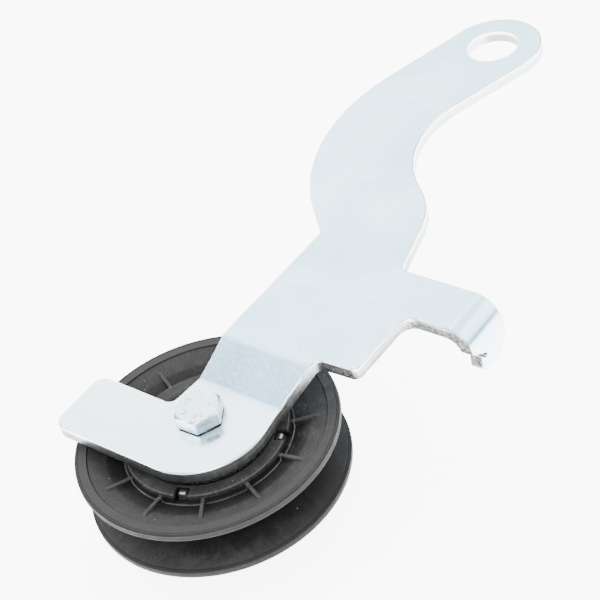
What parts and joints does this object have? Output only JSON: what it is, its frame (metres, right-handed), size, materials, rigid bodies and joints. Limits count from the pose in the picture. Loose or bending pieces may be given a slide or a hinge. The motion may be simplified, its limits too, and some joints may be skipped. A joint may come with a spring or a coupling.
{
  "type": "belt tensioner arm with idler pulley",
  "caption": "Joggled steel arm with a pivot eye, a curled spring hook and a belt finger, carrying a free-spinning V-groove idler pulley on a ball bearing.",
  "frame": {"origin": "centre of the pivot bore, at half the thickness of the arm's main plate", "axes": "+Z along the pivot bore and the pulley axis, from the pulley towards the bolt head; +X along the straight strap, from the pulley towards the pivot eye; the spring hook points to -Y"},
  "size_m": [0.2384, 0.101, 0.042],
  "materials": {
    "arm_zinc": "bright zinc plating, semi-gloss, slightly cloudy",
    "hardware_zinc": "bright zinc plating with a blue tint",
    "pulley_nylon": "moulded black nylon, fine grain",
    "bearing_steel": "ground steel",
    "ball_steel": "polished steel",
    "cage_nylon": "natural nylon",
    "seal_rubber": "matte rubber",
    "bush_steel": "turned steel",
    "insert_nylon": "blue nylon"
  },
  "bodies": {
    "arm": {"arm_plate": "arm_zinc", "hex_bolt": "hardware_zinc", "lock_nut": "hardware_zinc", "nut_insert": "insert_nylon", "flat_washer": "hardware_zinc", "front_bush": "bush_steel", "rear_bush": "bush_steel", "bearing_inner_ring": "bearing_steel"},
    "pulley": {"pulley_front_half": "pulley_nylon", "pulley_rear_half": "pulley_nylon", "bearing_outer_ring": "bearing_steel", "bearing_seal_front": "seal_rubber", "bearing_seal_rear": "seal_rubber"},
    "ball_cage": {"bearing_cage": "cage_nylon", "bearing_ball_1": "ball_steel", "bearing_ball_2": "ball_steel", "bearing_ball_3": "ball_steel", "bearing_ball_4": "ball_steel", "bearing_ball_5": "ball_steel", "bearing_ball_6": "ball_steel", "bearing_ball_7": "ball_steel", "bearing_ball_8": "ball_steel"}
  },
  "joints": [
    {"name": "pulley_spin", "type": "hinge", "parent": "arm", "child": "pulley", "pos_m": [-0.1814, -0.0126, -0.0191], "axis": [0, 0, 1], "continuous": true},
    {"name": "cage_spin", "type": "hinge", "parent": "arm", "child": "ball_cage", "pos_m": [-0.1814, -0.0126, -0.0191], "axis": [0, 0, 1], "continuous": true}
  ],
  "couplings": [
    {"joint": "cage_spin", "follows": "pulley_spin", "ratio": 0.6167}
  ]
}
